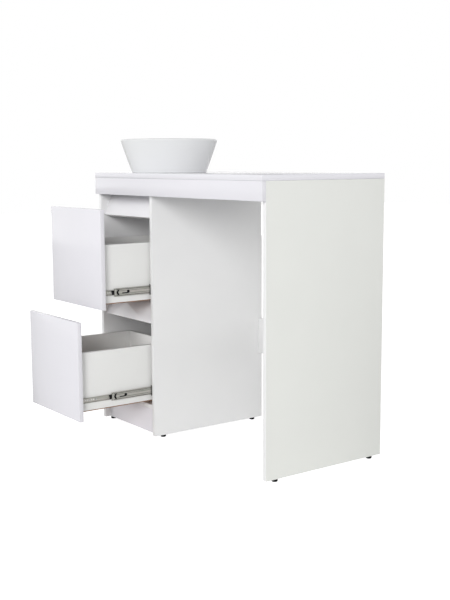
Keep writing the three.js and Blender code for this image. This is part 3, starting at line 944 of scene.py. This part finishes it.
# A six-sided nut: each end face is six pieces, between a side and a sixth of the bore.
def makeBacknut(centre):
    low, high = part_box("waste_backnut")
    corner = (high.y - low.y) / 2 / math.cos(math.radians(30))
    shapes = (circle(centre, corner, 6), circle(centre, waste["tube"] + waste["fit"], 48))
    bm = bmesh.new()
    rings = []
    for z in (low.z, high.z):
        outer, inside = ([bm.verts.new((x, y, z)) for x, y in shape] for shape in shapes)
        rings.append((outer, inside))
        for k in range(6):
            bored = [inside[(k * 8 + i) % 48] for i in range(9)]
            bm.faces.new([outer[k], outer[(k + 1) % 6]] + bored[::-1])
    for lower, upper in zip(*rings):
        for k in range(len(lower)):
            j = (k + 1) % len(lower)
            bm.faces.new((lower[k], lower[j], upper[j], upper[k]))
    place("waste_backnut_hexagon", bm, whitePlastic, "cabinet", ["waste_backnut"])


def makeWaste():
    low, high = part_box("waste_body")
    centre = ((low.x + high.x) / 2, (low.y + high.y) / 2, 0)
    for makePart in (makeWasteBody, makePlug, makeGasket, makeBacknut):
        makePart(centre)


makeBasin()
makeWaste()
print("basin and waste made")


# The bottle trap under the waste.
trap = {
    "pipe": 0.016,
    "wall": 0.002,
    "body": 0.030,
    "shoulder": 0.006,
    "chamber": 0.027,
    "collar": {"radius": 0.020, "height": 0.004},
    "cup": {"wall": 0.003, "fit": 0.0003, "ribs": 24, "ribDepth": 0.0014, "softening": 0.005},
    "nut": {"radius": 0.025, "ribs": 20, "ribDepth": 0.0011, "chamfer": 0.0012},
    "nutBores": {"trap_inlet_nut": ("z", 0.0203), "trap_outlet_nut": ("y", 0.0183)},
}


def placeTurned(name, outline, centre, axis, count, node=None):
    bm = bmesh.new()
    addTurned(bm, outline, centre, axis, count)
    place(name, bm, whitePlastic, "cabinet", [node] if node else [])


def makeNut(node):
    low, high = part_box(node)
    axis, bore = trap["nutBores"][node]
    radius, ribs, depth, chamfer = (trap["nut"][name] for name in ("radius", "ribs", "ribDepth", "chamfer"))
    start, end = low["xyz".index(axis)], high["xyz".index(axis)]
    outline = [
        (bore, start),
        (radius - chamfer, start),
        (radius, start + chamfer),
        (radius, end - chamfer),
        (radius - chamfer, end),
        (bore, end),
    ]
    centre = (low + high) / 2
    bm = bmesh.new()
    addTurned(bm, outline, centre, axis, ribs * 6)
    addRibs(bm, centre, axis, radius, ribs, depth)
    place(node + "_ribbed", bm, whitePlastic, "cabinet", [node])


def makeCup(centre):
    low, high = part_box("trap_cup")
    cup = trap["cup"]
    radius, soft = (high.x - low.x) / 2, cup["softening"]
    inner, hollow = trap["body"] + cup["fit"], low.z + 0.001
    outline = [
        (0, low.z),
        (radius * 0.4, low.z),
        (radius * 0.42, hollow),
        (radius - soft - 0.001, hollow),
        *arc((radius - soft, hollow + soft), soft, -90, 0, 6),
        (radius, high.z - 0.001),
        (radius - 0.001, high.z),
        (inner, high.z),
        (inner, low.z + cup["wall"]),
        (0, low.z + cup["wall"]),
    ]
    bm = bmesh.new()
    addTurned(bm, outline, centre, "z", cup["ribs"] * 6)
    addRibs(bm, centre, "z", radius, cup["ribs"], cup["ribDepth"])
    place("trap_cup_ribbed", bm, whitePlastic, "cabinet", ["trap_cup"])


def makeTrap():
    low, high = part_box("trap_body")
    pipeLow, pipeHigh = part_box("trap_outlet_pipe")
    cupLow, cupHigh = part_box("trap_cup")
    centre = ((cupLow.x + cupHigh.x) / 2, (cupLow.y + cupHigh.y) / 2, 0)
    outlet = (centre[0], 0, (pipeLow.z + pipeHigh.z) / 2)
    radius, pipe, shoulder, chamber = (trap[name] for name in ("body", "pipe", "shoulder", "chamber"))
    bore, collar = pipe - trap["wall"], trap["collar"]
    top = outlet[2] + pipe + shoulder
    seat, ceiling = high.z - collar["height"], top - shoulder
    outline = [
        (chamber, low.z),
        (radius, low.z),
        (radius, top - shoulder),
        *arc((radius - shoulder, top - shoulder), shoulder, 0, 90, 8),
        (pipe + 0.001, top),
        (pipe, top + 0.001),
        (pipe, seat),
        (collar["radius"], seat),
        (collar["radius"], high.z),
        (bore, high.z),
        (bore, ceiling),
        (chamber - 0.004, ceiling),
        (chamber, ceiling - 0.004),
    ]
    placeTurned("trap_body_turned", outline, centre, "z", 72, "trap_body")
    start, outer = centre[1] + chamber - 0.0008, pipe + trap["wall"]
    branch = [(bore, start), (outer, start), (outer, high.y), (bore, high.y)]
    placeTurned("trap_branch", branch, outlet, "y", 48)
    makeCup(centre)
    for node in trap["nutBores"]:
        makeNut(node)
    soft = 0.0006
    tube = [
        (bore, pipeLow.y),
        (pipe, pipeLow.y),
        (pipe, pipeHigh.y - soft),
        (pipe - soft, pipeHigh.y),
        (bore, pipeHigh.y),
    ]
    placeTurned("trap_outlet_tube", tube, outlet, "y", 48, "trap_outlet_pipe")


makeTrap()
print("trap made")


# Floor, light and camera.
studio = {
    "floorSize": 30,
    "floorTone": (0.8, 0.8, 0.8, 1),
    "floorRough": 0.9,
    "floorGlow": 0.1,  # light that comes up from the paper
    "seenGlow": 0.8,  # added where the floor is seen directly, so that it shows as plain white
    "roomAhead": 0.93,  # how bright the room is at the vanity's height, in front of it
    "roomBehind": 1.32,  # and behind it
    "overhead": 0.0,  # and straight above it, as a share of that
    "seenSky": 1.0,
    "lampSpread": 24,  # degrees across, seen from the vanity
    "lamps": {  # the way from the vanity towards each, and its strength
        "rightLamp": ((0.88, -1.0, 0.43), 1.42),
        "leftLamp": ((-1.0, -1.0, 0.44), 0.6),
    },
}
camera = {
    "place": (2.7825, -1.911, 0.972),
    "yaw": 53.882,  # to the left of straight back
    "pitch": 7.915,  # down
    "roll": -0.286,
    "lens": 59.556,
    "sensor": 36,
}


def makeFloor():
    half = studio["floorSize"] / 2
    corners = ((-half, -half), (half, -half), (half, half), (-half, half))
    bm = bmesh.new()
    bm.faces.new([bm.verts.new((x, y, 0)) for x, y in corners])
    paper = bpy.data.materials.new("floorPaper")
    paper.use_nodes = True
    tree = paper.node_tree
    shader = tree.nodes["Principled BSDF"]
    shader.inputs["Base Color"].default_value = studio["floorTone"]
    shader.inputs["Roughness"].default_value = studio["floorRough"]
    shader.inputs["Specular IOR Level"].default_value = 0.0
    shader.inputs["Emission Color"].default_value = (1, 1, 1, 1)
    seen = addNode(tree, "ShaderNodeLightPath").outputs["Is Camera Ray"]
    glow = spread(tree, seen, 0, 1, studio["floorGlow"], studio["seenGlow"])
    tree.links.new(glow, shader.inputs["Emission Strength"])
    addMesh("floor", bm, paper)


def makeLight():
    world = bpy.data.worlds.new("studioSky")
    world.use_nodes = True
    tree = world.node_tree
    backdrop = tree.nodes["Background"]
    backdrop.inputs["Color"].default_value = (1, 1, 1, 1)
    way = addNode(tree, "ShaderNodeTexCoord").outputs["Generated"]
    parts = addNode(tree, "ShaderNodeSeparateXYZ", {"Vector": way}).outputs
    around = spread(tree, parts["Y"], -1, 1, studio["roomAhead"], studio["roomBehind"])
    room = times(tree, around, spread(tree, parts["Z"], 0, 1, 1, studio["overhead"]))
    seen = addNode(tree, "ShaderNodeLightPath").outputs["Is Camera Ray"]
    tree.links.new(spread(tree, seen, 0, 1, room, studio["seenSky"]), backdrop.inputs["Strength"])
    bpy.context.scene.world = world
    for name, (way, strength) in studio["lamps"].items():
        light = bpy.data.lights.new(name, "SUN")
        light.energy = strength
        light.angle = math.radians(studio["lampSpread"])
        lamp = addObject(name, light)
        lamp.rotation_euler = (-Vector(way)).to_track_quat("-Z", "Y").to_euler()
        lamp.visible_glossy = False  # soft fill without a hot spot on the lacquer


def makeCamera():
    yaw, pitch, roll = (math.radians(camera[k]) for k in ("yaw", "pitch", "roll"))
    back = Vector((-math.sin(yaw), math.cos(yaw), 0))
    ahead = back * math.cos(pitch) - Vector((0, 0, math.sin(pitch)))
    level = Vector((math.cos(yaw), math.sin(yaw), 0))
    up = level.cross(ahead)
    across = math.cos(roll) * level + math.sin(roll) * up
    upright = across.cross(ahead)
    lens = bpy.data.cameras.new("camera")
    lens.lens = camera["lens"]
    lens.sensor_width = camera["sensor"]
    view = addObject("camera", lens)
    view.rotation_mode = "QUATERNION"
    view.rotation_quaternion = Matrix((across, upright, -ahead)).transposed().to_quaternion()
    view.location = camera["place"]
    bpy.context.scene.camera = view


makeFloor()
makeLight()
makeCamera()
bpy.context.scene.view_settings.view_transform = "Standard"
print("stage made")
